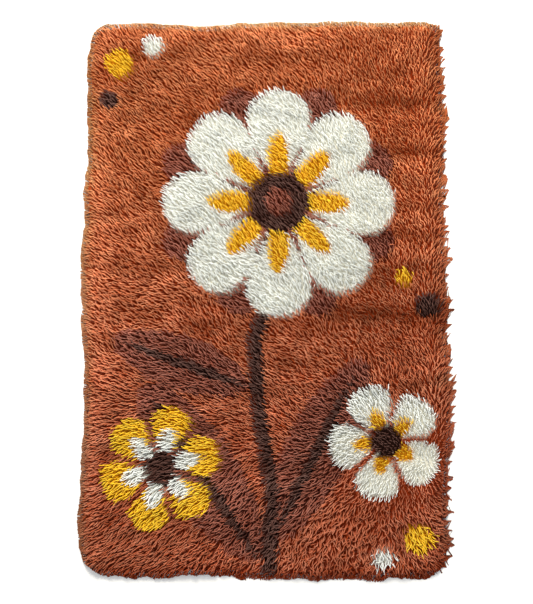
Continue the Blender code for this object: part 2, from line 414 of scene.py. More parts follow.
# %% Table of the design
RUST, CREAM, GOLD, DARK_BROWN, MAUVE_BROWN = range(5)
YARN_NAMES = ("rust", "cream", "gold", "dark_brown", "mauve_brown")

# Columns: yarn, x and y of the foot, heading in degrees, length, width, how blunt the tip is.
LEAVES = (
    (MAUVE_BROWN, 0.02, -0.50, 62, 0.40, 0.130, 1.0),
    (MAUVE_BROWN, -0.01, -0.54, 124, 0.42, 0.150, 1.0),
    (MAUVE_BROWN, -0.03, -0.20, 160, 0.30, 0.110, 1.0),
    (DARK_BROWN, 0.02, -0.50, 62, 0.36, 0.022, 1.0),
    (DARK_BROWN, -0.01, -0.54, 124, 0.38, 0.024, 1.0),
    (DARK_BROWN, -0.03, -0.20, 160, 0.27, 0.020, 1.0),
)
# Columns: yarn, x, y, number of petals, first heading, distance of the foot, length, width, blunt.
BLOOMS = (
    (MAUVE_BROWN, 0.03, 0.19, 8, 22.5, 0.03, 0.230, 0.110, 0.6),
    (CREAM, 0.03, 0.19, 8, 0.0, 0.03, 0.215, 0.135, 0.5),
    (GOLD, 0.03, 0.19, 8, 0.0, 0.03, 0.120, 0.044, 0.9),
    (GOLD, -0.21, -0.36, 6, 15.0, 0.02, 0.105, 0.082, 0.5),
    (CREAM, -0.21, -0.36, 6, 15.0, 0.02, 0.062, 0.034, 0.9),
    (CREAM, 0.25, -0.31, 5, 40.0, 0.01, 0.105, 0.090, 0.5),
    (GOLD, 0.25, -0.31, 5, 40.0, 0.01, 0.055, 0.030, 0.9),
)
# Columns: yarn, x, y, radius.
DISCS = (
    (DARK_BROWN, 0.03, 0.19, 0.064),
    (MAUVE_BROWN, 0.03, 0.19, 0.030),
    (DARK_BROWN, -0.21, -0.36, 0.034),
    (DARK_BROWN, 0.25, -0.31, 0.032),
    (GOLD, -0.31, 0.49, 0.030),
    (CREAM, -0.24, 0.53, 0.022),
    (DARK_BROWN, -0.33, 0.41, 0.020),
    (GOLD, 0.31, -0.50, 0.028),
    (CREAM, 0.24, -0.54, 0.020),
    (DARK_BROWN, 0.34, -0.03, 0.026),
    (GOLD, 0.29, 0.03, 0.018),
)
# Columns: x and y along the stem, from its foot to the large flower.
STEM = ((0.01, -0.56), (0.02, -0.40), (-0.01, -0.24), (-0.02, -0.10), (0.02, 0.02))
STEM_WIDTH = 0.030


# %% Which yarn at which place
def in_petal(x, y, foot_x, foot_y, heading, length, width, blunt):
    """True inside a petal or leaf: pointed at its foot, rounder at its tip when blunt is low."""
    angle = math.radians(heading)
    along = ((x - foot_x) * math.cos(angle) + (y - foot_y) * math.sin(angle)) / length
    aside = (-(x - foot_x) * math.sin(angle) + (y - foot_y) * math.cos(angle)) / (width / 2.0)
    share = np.clip(along, 0.0, 1.0)
    outline = np.sin(math.pi * share ** (1.0 / blunt) if blunt < 1.0 else math.pi * share)
    full = np.sqrt(np.clip(outline, 0.0, 1.0))
    return (along > 0.0) & (along < 1.0) & (np.abs(aside) < full)


def near_stem(x, y):
    """True within half the stem's width of its line."""
    close = np.full(x.shape, False)
    for (x0, y0), (x1, y1) in zip(STEM, STEM[1:]):
        step = np.array((x1 - x0, y1 - y0))
        share = np.clip(((x - x0) * step[0] + (y - y0) * step[1]) / (step @ step), 0.0, 1.0)
        gap = np.hypot(x - x0 - share * step[0], y - y0 - share * step[1])
        close |= gap < STEM_WIDTH / 2.0
    return close


def yarn_at(x, y):
    """Number of the yarn that a knot at each place is tied with."""
    yarn = np.full(x.shape, RUST)
    for colour, foot_x, foot_y, heading, length, width, blunt in LEAVES:
        yarn[in_petal(x, y, foot_x, foot_y, heading, length, width, blunt)] = colour
    yarn[near_stem(x, y)] = DARK_BROWN
    for colour, mid_x, mid_y, count, first, foot, length, width, blunt in BLOOMS:
        for petal in range(count):
            heading = first + 360.0 * petal / count
            foot_x = mid_x + foot * math.cos(math.radians(heading))
            foot_y = mid_y + foot * math.sin(math.radians(heading))
            yarn[in_petal(x, y, foot_x, foot_y, heading, length, width, blunt)] = colour
    for colour, mid_x, mid_y, radius in DISCS:
        yarn[np.hypot(x - mid_x, y - mid_y) < radius] = colour
    return yarn


# %% [markdown]
# ## The knots
# The knots sit in rows, as a weaver ties them, a little unevenly and closer at the far end.
# Each one takes its yarn from the design. Every second knot will stand lower, in the shade of
# its neighbours, because a deep pile looks deep by that change of light and dark. The last
# knots follow the rim in three rows of their own, so that the outline is a closed one.

# %% Rows of knots
KNOT_SPACING = 0.0037
FAR_ROW_SPACING = 0.0035
NEAR_ROW_SPACING = 0.0041
PLACE_JITTER = 0.0005
ROOT_INSET = 0.0090
# The order of the high knots follows the lay, which turns at one line across the rug.
FLOW_TURN_Y = -0.34
KNOT_SEED = 11

dice = np.random.default_rng(KNOT_SEED)
rug_length = high_corner[1] - low_corner[1]
row_steps = []
while sum(row_steps) < rug_length:
    share = sum(row_steps) / rug_length
    row_steps.append(NEAR_ROW_SPACING * (1.0 - share) + FAR_ROW_SPACING * share)
lattice_x, lattice_y = np.meshgrid(
    np.arange(low_corner[0], high_corner[0], KNOT_SPACING), low_corner[1] + np.cumsum(row_steps)
)
lattice_x[1::2] += KNOT_SPACING / 2.0
lattice_row, lattice_column = np.indices(lattice_x.shape)
near_order = (lattice_column + (lattice_row + 1) // 2) % 2 == 0
far_order = (lattice_column - lattice_row // 2) % 2 == 0
knot_high = np.where(lattice_y < FLOW_TURN_Y, near_order, far_order).ravel()
knot_x = lattice_x.ravel() + dice.normal(0.0, PLACE_JITTER, lattice_x.size)
knot_y = lattice_y.ravel() + dice.normal(0.0, PLACE_JITTER, lattice_x.size)
keep = read_map(past_rim_map, knot_x, knot_y) < -ROOT_INSET
knot_x, knot_y, knot_high = knot_x[keep], knot_y[keep], knot_high[keep]
print(len(row_steps), "rows with", len(knot_x), "knots")

# %% Knots along the rim
# How far inside the rim each of these rows stands.
EDGE_ROWS = (0.0092, 0.0070, 0.0046)

rim_out_x = read_map(out_x_map, rim[:, 0], rim[:, 1])
rim_out_y = read_map(out_y_map, rim[:, 0], rim[:, 1])
for inset in EDGE_ROWS:
    knot_x = np.concatenate([knot_x, rim[:, 0] - inset * rim_out_x])
    knot_y = np.concatenate([knot_y, rim[:, 1] - inset * rim_out_y])
    knot_high = np.concatenate([knot_high, np.full(len(rim), True)])
knot_yarn = yarn_at(knot_x, knot_y)
shares = {name: round(float(np.mean(knot_yarn == i)), 3) for i, name in enumerate(YARN_NAMES)}
print(len(knot_x), "knots;", shares)

# %% [markdown]
# ## How each knot lies
# A knot leans as the lay says, with a little chance. Near the rim the tufts have nothing to
# lean on, so they turn outwards, and the outermost reach just as far as the rim spills. On the
# right their tips are pulled sideways to the nearest point.

# %% Lean and reach
OUTER_WIDTH = 0.0080
REACH_RANGE = (0.80, 1.20)
LOW_REACH = 0.92
LEAST_OUTWARDS = 0.5
RIM_TIDY = 0.25
# Over what width and how strongly strands draw together, and where along a point they gather.
POINT_WIDTH = 0.020
POINT_PULL = 0.70
POINT_TIP = 0.8

to_rim = np.maximum(-read_map(past_rim_map, knot_x, knot_y), 0.0)
out_x = read_map(out_x_map, knot_x, knot_y)
out_y = read_map(out_y_map, knot_x, knot_y)
on_right = sides_at(knot_x, knot_y)[0]
lean_x, lean_y, lay_reach, unruly, lay_bright = lay_at(knot_x, knot_y)
rim_width, rim_turn, _ = rim_habit(knot_x, knot_y)
rimness = np.clip(1.0 - (to_rim - ROOT_INSET) / rim_width, 0.0, 1.0)
turn = np.arctan2(
    lean_y * (1.0 - rimness * rim_turn) + out_y * rimness * rim_turn,
    lean_x * (1.0 - rimness * rim_turn) + out_x * rimness * rim_turn,
) + unruly * dice.normal(0.0, 1.0, len(knot_x))
reach = lay_reach * dice.uniform(*REACH_RANGE, len(knot_x)) * np.where(knot_high, 1.0, LOW_REACH)
outwards = np.maximum(np.cos(turn) * out_x + np.sin(turn) * out_y, LEAST_OUTWARDS)
full_reach = (to_rim + spill_at(knot_x, knot_y)) / outwards
outer = np.clip(1.0 - (to_rim - ROOT_INSET) / OUTER_WIDTH, 0.0, 1.0)
reach = np.minimum(reach * (1.0 - outer) + full_reach * outer, full_reach)
knot_lean = np.stack([np.cos(turn) * reach, np.sin(turn) * reach, np.zeros(len(turn))], axis=1)
drawn = on_right * np.clip(1.0 - (to_rim - ROOT_INSET) / POINT_WIDTH, 0.0, 1.0)
to_tip = POINT_TIP - point_share(knot_y + knot_lean[:, 1])
knot_lean[:, 1] += POINT_PULL * drawn * POINT_LENGTH * to_tip
knot_loose = 1.0 - rimness * (1.0 - RIM_TIDY)
print("reach", round(reach.min(), 4), "to", round(reach.max(), 4), "m")

# %% Height and thickness
ROOT_HEIGHT = 0.0040
LEAST_LIFT = 0.0040
LOW_LIFT = 0.66
# A strand that reaches further is a thicker one: its reach, and its share of the full radius.
THICK_REACHES = (0.011, 0.015, 0.019)
THICK_SHARES = (0.58, 0.68, 0.83)
HIGH_THICK = 1.14
RIGHT_THICK = 0.35
# Towards the far right the pile is more even. For x and y: where that starts, and over what
# width it comes in. The third value is how much thinner its strands are.
EVEN_X = (0.12, 0.10)
EVEN_Y = (-0.22, 0.12)
EVEN_THIN = 0.08
# Number of shapes of strand for the high knots. The low ones have the shape after them.
HIGH_SHAPES = 4

halfway_x, halfway_y = knot_x + knot_lean[:, 0] / 2.0, knot_y + knot_lean[:, 1] / 2.0
knot_lift = np.maximum(read_map(envelope_map, halfway_x, halfway_y) - ROOT_HEIGHT, LEAST_LIFT)
knot_lift *= np.where(knot_high, 1.0, LOW_LIFT)
even = np.clip((knot_x - EVEN_X[0]) / EVEN_X[1], 0.0, 1.0)
even = even * np.clip((knot_y - EVEN_Y[0]) / EVEN_Y[1], 0.0, 1.0)
knot_thick = np.interp(lay_reach, THICK_REACHES, THICK_SHARES)
knot_thick *= np.where(knot_high, HIGH_THICK, 1.0)
knot_thick *= 1.0 + RIGHT_THICK * rimness * on_right
knot_thick *= 1.0 - EVEN_THIN * even * (1.0 - rimness)
knot_shape = np.where(knot_high, dice.integers(0, HIGH_SHAPES, len(knot_x)), HIGH_SHAPES)
print(int(knot_high.sum()), "knots are high,", int((~knot_high).sum()), "low")

# %% [markdown]
# ## Light and shade
# Lamp and sky alone leave a strand-by-strand pile flatter than wool, where most of the light is
# lost between the fibres. So each knot also carries a brightness of painted light and shade: more
# on the slab's swells, less in its troughs, at the rim and where the pile parts. Pale wool hides
# its shadows, so the light yarns take only a part of it. Low knots show little of their own
# colour and mostly a painted shadow colour.

# %% Where the pile parts
# Columns: middle x and y, half length along x, half width along y, share of the brightness lost.
PARTINGS = (
    (0.27, 0.402, 0.11, 0.007, 0.38),
    (0.30, 0.360, 0.08, 0.007, 0.26),
    (0.28, 0.298, 0.11, 0.009, 0.34),
    (0.27, 0.180, 0.10, 0.012, 0.32),
    (0.30, 0.116, 0.09, 0.009, 0.26),
    (0.27, 0.044, 0.11, 0.010, 0.36),
    (0.27, -0.052, 0.13, 0.017, 0.55),
    (0.33, -0.196, 0.06, 0.018, 0.36),
    (-0.10, 0.540, 0.07, 0.013, 0.26),
    (0.29, 0.555, 0.08, 0.012, 0.26),
    (-0.31, 0.470, 0.05, 0.016, 0.20),
    (-0.25, 0.046, 0.06, 0.010, 0.20),
    (-0.36, -0.096, 0.05, 0.007, 0.22),
    (-0.34, -0.206, 0.06, 0.008, 0.18),
)
PARTING_WANDER = 0.006


def parting_at(x, y):
    """Share of the brightness that is lost at each place because the pile parts."""
    lost = np.zeros(len(x))
    for middle_x, middle_y, half_length, half_width, loss in PARTINGS:
        off_x = (x - middle_x) / half_length
        off_y = (y - middle_y + PARTING_WANDER * wander(x, y, seed=18)) / half_width
        lost = np.maximum(lost, loss * np.exp(-(off_x**4) - off_y**2))
    return lost


# %% Brightness
# How much of its shade each yarn shows, in the order of YARN_NAMES.
YARN_DEPTH = np.array((1.0, 0.35, 0.40, 0.80, 0.75))
# Swells, slopes and mottling: their share of the brightness, and the heights (in metres) and
# slopes that count as full ones. They start a little way in from the rim.
RELIEF_SHADE, FULL_RELIEF = 0.26, 0.0030
SLOPE_SHADE, FULL_SLOPE = 0.14, 0.20
MOTTLE_SHADE, MOTTLE_SQUEEZE = 0.07, 2.0
SHADE_LIMIT = 1.5
INNER_WIDTH = 0.045
# At the rim, for all sides, and how much more at the far end than at the near one.
RIM_SHADE = (-0.46, 0.03)

inner = np.clip(to_rim / INNER_WIDTH, 0.0, 1.0)
relief = np.clip(read_map(relief_map, knot_x, knot_y) / FULL_RELIEF, -SHADE_LIMIT, SHADE_LIMIT)
slope = np.clip(-read_map(slope_y_map, knot_x, knot_y) / FULL_SLOPE, -SHADE_LIMIT, SHADE_LIMIT)
knot_bright = lay_bright * (1.0 + inner * (RELIEF_SHADE * relief + SLOPE_SHADE * slope))
mottle = wander(knot_x, knot_y * MOTTLE_SQUEEZE, seed=17)
knot_bright = knot_bright * (1.0 + MOTTLE_SHADE * mottle)
knot_bright = knot_bright * (1.0 - parting_at(knot_x, knot_y))
knot_bright = knot_bright * (1.0 + rimness * (RIM_SHADE[0] + RIM_SHADE[1] * out_y))
knot_bright = 1.0 + (knot_bright - 1.0) * YARN_DEPTH[knot_yarn]
print("brightness", round(knot_bright.min(), 2), "to", round(knot_bright.max(), 2))

# %% Hue, tone and how much shows
# Rust alone changes its hue: a little less green inside, more green at the rim, a painted light
# that makes it paler, and more blue towards the near end, a painted tint of the sky's light. The
# three values for the rim are for all sides, more at the far end, and less on the right.
INNER_GREEN, INNER_BLUE = -0.08, 0.08
RIM_LIGHT_GREEN = (0.16, 0.34, 0.23)
NEAR_SKY_BLUE = 0.35
BLUE_START_Y, BLUE_SPAN = 0.30, 0.70
# The tone of a strand, from shaded to light: its middle and spread, its slow wander, how far it
# follows the painted brightness, and its change at the rim, which is painted light at the far
# end and on the sides and painted shade at the near end.
TONE_MIDDLE, TONE_SPREAD, TONE_WANDER = 0.5, 0.16, 0.10
TONE_FOLLOWS = 0.50
RIM_TONE = (0.18, 0.45)
# How much of its own colour a low knot shows, with more in the even part and at the far rim,
# where more light is painted. The rest is painted shadow between the fibres.
LOW_SHOW, EVEN_SHOW, FAR_RIM_SHOW = 0.34, 0.22, 0.50
# Over what width in from the outermost row even the roots show their own colour, without the
# painted root shadow.
EDGE_WIDTH = 0.016

rust = knot_yarn == RUST
# The rim's green is painted light, and the near end's blue is a painted tint of the sky's light.
rim_light_green = RIM_LIGHT_GREEN[0] + RIM_LIGHT_GREEN[1] * out_y - RIM_LIGHT_GREEN[2] * out_x
green = 1.0 + rust * (INNER_GREEN + rimness * rim_light_green)
nearness = np.clip((BLUE_START_Y - knot_y) / BLUE_SPAN, 0.0, 1.0)
blue = green * (1.0 + rust * (INNER_BLUE + NEAR_SKY_BLUE * nearness))
knot_light = np.stack([knot_bright, knot_bright * green, knot_bright * blue], axis=1)
knot_tone = dice.normal(TONE_MIDDLE, TONE_SPREAD, len(knot_x))
knot_tone = knot_tone + TONE_WANDER * wander(knot_x, knot_y, seed=8)
knot_tone += TONE_FOLLOWS * (knot_bright - 1.0) + rimness * (RIM_TONE[0] + RIM_TONE[1] * out_y)
low_show = LOW_SHOW + EVEN_SHOW * even + FAR_RIM_SHOW * rimness * np.clip(out_y, 0.0, 1.0)
knot_show = np.where(knot_high, 1.0, low_show)
knot_edge = np.clip(1.0 - (to_rim - EDGE_ROWS[-1]) / EDGE_WIDTH, 0.0, 1.0)
print("tone", round(knot_tone.min(), 2), "to", round(knot_tone.max(), 2))

# %% [markdown]
# ## One tuft, many times
# This is the job for Geometry Nodes. The tree takes the knots as bare points. It draws four
# slightly different curved strands for the high knots and one straight strand for the low ones,
# all as closed tapered tubes of a few faces, because each is repeated thousands of times. It
# puts one of them on every point, turned along its lean and stretched to its reach and height.
# At the end the copies are made real, waved by a noise that neighbours share, so that they
# gather into locks, and given their material.

# %% Helpers for node trees
def add(tree, kind, values=None, links=None, **settings):
    """Add a node, set its own settings, then fill in and link its inputs."""
    made = tree.nodes.new(kind)
    for name, value in settings.items():
        setattr(made, name, value)
    for socket, value in (values or {}).items():
        made.inputs[socket].default_value = value
    for socket, source in (links or {}).items():
        tree.links.new(source, made.inputs[socket])
    return made


def maths(tree, operation, first, second, kind="ShaderNodeMath"):
    """A sum, product or the like of two sockets, or of a socket and a value: its result."""
    made = add(tree, kind, operation=operation)
    for index, given in enumerate((first, second)):
        if isinstance(given, bpy.types.NodeSocket):
            tree.links.new(given, made.inputs[index])
        else:
            made.inputs[index].default_value = given
    return made.outputs[0]


def scaled(tree, vector, factor):
    """A vector made longer or shorter by a factor."""
    return add(tree, "ShaderNodeVectorMath", operation="SCALE",
               links={0: vector, "Scale": factor}).outputs[0]


def read_attribute(tree, name, kind="FLOAT"):
    """A value that each knot or strand carries, read in a Geometry Nodes tree."""
    return add(tree, "GeometryNodeInputNamedAttribute", {"Name": name}, data_type=kind).outputs[0]


def read_paint(tree, name, output="Fac"):
    """The same value, read in a material."""
    return add(tree, "ShaderNodeAttribute", attribute_name=name).outputs[output]


# %% The strands
# Columns: how far the strand swerves aside at a third and at two thirds, height of its tip, and
# its number of straight lengths. The first HIGH_SHAPES are for the high knots, the last one for
# the low knots.
STRAND_SHAPES = (
    (0.0022, -0.0024, 0.0188, 3),
    (-0.0024, 0.0020, 0.0180, 3),
    (0.0010, 0.0028, 0.0192, 3),
    (-0.0012, -0.0028, 0.0176, 3),
    (0.0, 0.0, 0.0184, 1),
)
# The strand is drawn at this size, then stretched to the reach and lift of its knot.
STRAND_REACH = 0.018
STRAND_LIFT = 0.0195
STRAND_RADIUS = 0.00155
# It rises steeply and then lies over. For its two handles: share of the reach, and of the height.
RISE_HANDLE = (0.10, 0.95)
LAID_HANDLE = (0.60, 1.12)
# Columns: share of the strand's length, share of its radius.
STRAND_TAPER = ((0.0, 0.80), (0.4, 0.95), (0.75, 1.06), (1.0, 0.80))
PROFILE_SIDES = 3
PROFILE_TURN_DEG = 100.0


def draw_strands(tree, radius):
    """Every shape of strand as an instance, each a closed tube of a few faces."""
    joined = tree.nodes.new("GeometryNodeJoinGeometry")
    # The join node counts from its last link, so the shapes are linked in reverse.
    for first_swerve, second_swerve, tip_height, lengths in reversed(STRAND_SHAPES):
        line = add(tree, "GeometryNodeCurvePrimitiveBezierSegment", {
            "Resolution": lengths,
            "Start": (0.0, 0.0, 0.0),
            "Start Handle": (
                STRAND_REACH * RISE_HANDLE[0], first_swerve, STRAND_LIFT * RISE_HANDLE[1]),
            "End Handle": (
                STRAND_REACH * LAID_HANDLE[0], second_swerve, tip_height * LAID_HANDLE[1]),
            "End": (STRAND_REACH, 0.0, tip_height),
        })
        share = tree.nodes.new("GeometryNodeSplineParameter")
        taper = add(tree, "ShaderNodeFloatCurve", links={"Value": share.outputs["Factor"]})
        shape = taper.mapping.curves[0]
        shape.points[0].location = STRAND_TAPER[0]
        shape.points[1].location = STRAND_TAPER[-1]
        for stop in STRAND_TAPER[1:-1]:
            shape.points.new(*stop)
        taper.mapping.update()
        marked = add(tree, "GeometryNodeStoreNamedAttribute", {"Name": "along"},
                     {"Geometry": line.outputs[0], "Value": share.outputs["Factor"]},
                     data_type="FLOAT", domain="POINT")
        ring = add(tree, "GeometryNodeCurvePrimitiveCircle", {"Resolution": PROFILE_SIDES},
                   {"Radius": radius})
        upright = add(tree, "GeometryNodeTransform",
                      {"Rotation": (0.0, 0.0, math.radians(PROFILE_TURN_DEG))},
                      {"Geometry": ring.outputs[0]})
        tube = add(tree, "GeometryNodeCurveToMesh", {"Fill Caps": True},
                   {"Curve": marked.outputs[0], "Profile Curve": upright.outputs[0],
                    "Scale": taper.outputs[0]})
        closed = add(tree, "GeometryNodeMergeByDistance", {"Distance": 1e-5},
                     {"Geometry": tube.outputs[0]})
        # The upward part of each point's normal is kept as ridge: the material paints shade on the
        # strand's sides from it.
        normal = tree.nodes.new("GeometryNodeInputNormal")
        upward = add(tree, "ShaderNodeSeparateXYZ", links={0: normal.outputs[0]})
        ridged = add(tree, "GeometryNodeStoreNamedAttribute", {"Name": "ridge"},
                     {"Geometry": closed.outputs[0], "Value": upward.outputs["Z"]},
                     data_type="FLOAT", domain="POINT")
        single = add(tree, "GeometryNodeGeometryToInstance", links={"Geometry": ridged.outputs[0]})
        tree.links.new(single.outputs[0], joined.inputs[0])
    return joined.outputs[0]


# %% Chance and waves
# For each chance of a strand: its least and greatest value, and its seed.
THICK_CHANCE = (0.85, 1.15, 33)
HEIGHT_CHANCE = (0.90, 1.08, 44)
TONE_CHANCE = (-0.15, 0.15, 66)
SCATTER_SEED = 21


def chance(tree, low, high, seed):
    """A number by chance for each strand."""
    made = add(tree, "FunctionNodeRandomValue", {2: low, 3: high, "Seed": seed}, data_type="FLOAT")
    return made.outputs[1]


def flat_chance(tree):
    """A node that gives each strand a level vector by chance."""
    return add(tree, "FunctionNodeRandomValue", {0: (-1, -1, 0), 1: (1, 1, 0)},
               data_type="FLOAT_VECTOR")


def wave_strands(tree, strands, amount, scale):
    """Move the strands by a noise that neighbours share, more towards their tips."""
    place = tree.nodes.new("GeometryNodeInputPosition")
    noise = add(tree, "ShaderNodeTexNoise", {"Detail": 1.0},
                {"Vector": place.outputs[0], "Scale": scale})
    middle = (0.5, 0.5, 0.5)
    centred = maths(tree, "SUBTRACT", noise.outputs["Color"], middle, "ShaderNodeVectorMath")
    reach = maths(tree, "MULTIPLY", read_attribute(tree, "along"), amount)
    return add(tree, "GeometryNodeSetPosition",
               links={"Geometry": strands, "Offset": scaled(tree, centred, reach)}).outputs[0]


# %% The tree of the tufts
# Columns: name, kind of socket, value. Sizes are in metres.
TUFT_INPUTS = (
    ("Strand radius", "NodeSocketFloat", STRAND_RADIUS),
    ("Knot spread", "NodeSocketFloat", 0.0003),
    ("Tip scatter", "NodeSocketFloat", 0.0011),
    ("Wave", "NodeSocketFloat", 0.0050),
    ("Wave scale", "NodeSocketFloat", 42.0),
    ("Seed", "NodeSocketInt", 5),
)


def make_tuft_tree():
    """The tree that puts a strand on every knot: knots go in, and a mesh in one yarn comes out."""
    tree = bpy.data.node_groups.new("tufts", "GeometryNodeTree")
    face = tree.interface
    face.new_socket("Knots", in_out="INPUT", socket_type="NodeSocketGeometry")
    for name, kind, value in TUFT_INPUTS:
        face.new_socket(name, in_out="INPUT", socket_type=kind).default_value = value
    face.new_socket("Yarn", in_out="INPUT", socket_type="NodeSocketMaterial")
    face.new_socket("Tufts", in_out="OUTPUT", socket_type="NodeSocketGeometry")
    given = tree.nodes.new("NodeGroupInput").outputs

    root = flat_chance(tree)
    tree.links.new(given["Seed"], root.inputs["Seed"])
    root_offset = scaled(tree, root.outputs[0], given["Knot spread"])
    scatter = flat_chance(tree)
    scatter.inputs["Seed"].default_value = SCATTER_SEED
    astray = maths(tree, "MULTIPLY", given["Tip scatter"], read_attribute(tree, "loose"))
    tip_offset = scaled(tree, scatter.outputs[0], astray)
    lean = read_attribute(tree, "lean", "FLOAT_VECTOR")
    aim = maths(tree, "ADD", lean, tip_offset, "ShaderNodeVectorMath")
    length = add(tree, "ShaderNodeVectorMath", links={0: aim}, operation="LENGTH")

    turned = add(tree, "FunctionNodeAlignRotationToVector", axis="X", pivot_axis="Z",
                 links={"Vector": aim})
    stretch = maths(tree, "DIVIDE", length.outputs["Value"], STRAND_REACH)
    thick = maths(tree, "MULTIPLY", chance(tree, *THICK_CHANCE), read_attribute(tree, "thick"))
    lift = maths(tree, "DIVIDE", read_attribute(tree, "lift"), STRAND_LIFT)
    height = maths(tree, "MULTIPLY", lift, chance(tree, *HEIGHT_CHANCE))
    size = add(tree, "ShaderNodeCombineXYZ", links={0: stretch, 1: thick, 2: height})
    knots = add(tree, "GeometryNodeSetPosition",
                links={"Geometry": given["Knots"], "Offset": root_offset})
    placed = add(tree, "GeometryNodeInstanceOnPoints", {"Pick Instance": True}, {
        "Points": knots.outputs[0],
        "Instance": draw_strands(tree, given["Strand radius"]),
        "Instance Index": read_attribute(tree, "shape", "INT"),
        "Rotation": turned.outputs[0],
        "Scale": size.outputs[0],
    })
    tone = maths(tree, "ADD", read_attribute(tree, "tone"), chance(tree, *TONE_CHANCE))
    toned = add(tree, "GeometryNodeStoreNamedAttribute", {"Name": "tone"},
                {"Geometry": placed.outputs[0], "Value": tone},
                data_type="FLOAT", domain="INSTANCE")
    real = add(tree, "GeometryNodeRealizeInstances", links={"Geometry": toned.outputs[0]})
    waved = wave_strands(tree, real.outputs[0], given["Wave"], given["Wave scale"])
    smooth = add(tree, "GeometryNodeSetShadeSmooth", links={"Geometry": waved})
    dyed = add(tree, "GeometryNodeSetMaterial",
               links={"Geometry": smooth.outputs[0], "Material": given["Yarn"]})
    out = tree.nodes.new("NodeGroupOutput")
    tree.links.new(dyed.outputs[0], out.inputs[0])
    return tree


tuft_tree = make_tuft_tree()
print("tuft tree:", len(tuft_tree.nodes), "nodes")

# %% [markdown]
# ## Wool
# Every yarn has a shaded and a light colour, and the tone of each strand picks a place between
# them. The tone differs at random, so no two strands match, and it also follows the light and
# shade painted on its knot. A third, deep colour is painted shadow between the fibres. It takes
# over towards the root of a strand, on its sides and over most of a low strand. The result is
# multiplied by the painted light that each knot carries. A fine noise flecks the colour and
# raises the fuzz, and wool has a faint sheen but no gloss.

# %% Yarn material
# For each yarn: its root colour, which is painted shadow between the fibres, its shaded colour
# and light colour, which span its own tone and painted light and shade, and how much of its own
# colour a strand keeps on its sides, where the rest is painted shade.
YARNS = {
    "rust": ((0.170, 0.006, 0.0002), (0.520, 0.080, 0.005), (0.750, 0.350, 0.146), 0.12),
    "cream": ((0.700, 0.715, 0.670), (0.880, 0.910, 0.870), (0.930, 0.950, 0.940), 0.66),
    "gold": ((0.670, 0.275, 0.001), (1.000, 0.525, 0.006), (1.000, 0.790, 0.085), 0.50),
    "dark_brown": ((0.022, 0.003, 0.001), (0.060, 0.013, 0.007), (0.215, 0.120, 0.100), 0.35),
    "mauve_brown": ((0.100, 0.009, 0.002), (0.250, 0.046, 0.015), (0.510, 0.215, 0.158), 0.30),
}
FLECK_SCALE, FLECK_SHARE = 320.0, 0.40
FUZZ_SCALE, FUZZ_HEIGHT = 1400.0, 0.0006
# From where to where a value counts: the flecked tone, the way along a strand, over which the
# painted root shadow gives way, and its upward side, below which shade is painted on the sides.
TONE_RANGE = (-0.10, 1.3)
ROOT_SHADE_RANGE = (0.15, 0.60)
SIDE_SHADE_RANGE = (-0.4, 0.9)


def make_yarn(name, root, shaded, light, side_share):
    """The wool of one yarn, which reads the attributes of its strands."""
    material, tree, shader = plain_material("yarn_" + name, roughness=0.88, gloss=0.0)
    shader.inputs["Sheen Weight"].default_value = 0.03
    shader.inputs["Sheen Roughness"].default_value = 0.45
    shader.inputs["Sheen Tint"].default_value = (*light, 1.0)
    place = tree.nodes.new("ShaderNodeTexCoord")
    fleck = add(tree, "ShaderNodeTexNoise", {"Scale": FLECK_SCALE, "Detail": 3.0},
                {"Vector": place.outputs["Object"]})
    flecked = maths(tree, "MULTIPLY", fleck.outputs["Fac"], FLECK_SHARE)
    level = add(tree, "ShaderNodeMapRange", {1: TONE_RANGE[0], 2: TONE_RANGE[1]},
                {"Value": maths(tree, "ADD", read_paint(tree, "tone"), flecked)})
    colour = add(tree, "ShaderNodeMix", {6: (*shaded, 1.0), 7: (*light, 1.0)},
                 {0: level.outputs[0]}, data_type="RGBA")
    # Painted root shadow: the root colour takes over towards the root of a strand.
    outer = add(tree, "ShaderNodeMapRange", {1: ROOT_SHADE_RANGE[0], 2: ROOT_SHADE_RANGE[1]},
                {"Value": read_paint(tree, "along")})
    bare = maths(tree, "MAXIMUM", outer.outputs[0], read_paint(tree, "edge"))
    # Painted shade on the sides of a strand, where its normal turns away from up.
    side = add(tree, "ShaderNodeMapRange",
               {1: SIDE_SHADE_RANGE[0], 2: SIDE_SHADE_RANGE[1], "To Min": side_share, "To Max": 1.0},
               {"Value": read_paint(tree, "ridge")})
    own = maths(tree, "MULTIPLY", bare, side.outputs[0])
    shown = maths(tree, "MULTIPLY", own, read_paint(tree, "show"))
    whole = add(tree, "ShaderNodeMix", {6: (*root, 1.0)}, {0: shown, 7: colour.outputs[2]},
                data_type="RGBA")
    # The painted light and shade of each knot scales the colour.
    lit = maths(tree, "MULTIPLY", whole.outputs[2], read_paint(tree, "light", "Vector"),
                "ShaderNodeVectorMath")
    tree.links.new(lit, shader.inputs["Base Color"])
    fuzz = add(tree, "ShaderNodeTexNoise", {"Scale": FUZZ_SCALE, "Detail": 2.0},
               {"Vector": place.outputs["Object"]})
    bump = add(tree, "ShaderNodeBump", {"Strength": 0.5, "Distance": FUZZ_HEIGHT},
               {"Height": fuzz.outputs["Fac"]})
    tree.links.new(bump.outputs[0], shader.inputs["Normal"])
    return material


yarn_materials = {name: make_yarn(name, *colours) for name, colours in YARNS.items()}
print("yarns:", sorted(yarn_materials))

# %% [markdown]
# ## Tying the knots
# The knots of one yarn become one piece. Rust, the ground colour, has so many that it is split
# into bands along the rug, which keeps each piece light enough for other programs. After the
# tree has run, the result is kept as a plain mesh. Last of all the tufts are pressed down to the
# slab's soft edge, so that the outer ones lie on the floor.

# %% Settle the tufts
# Where the slab is lower than this the tufts are pressed down, but never below a least share.
RIM_PRESS = 0.019
LEAST_PRESS = 0.10
FLOOR_GAP = 0.0003
# How much of its way past the spill a stray tip keeps.
SPILL_HOLD = 0.30


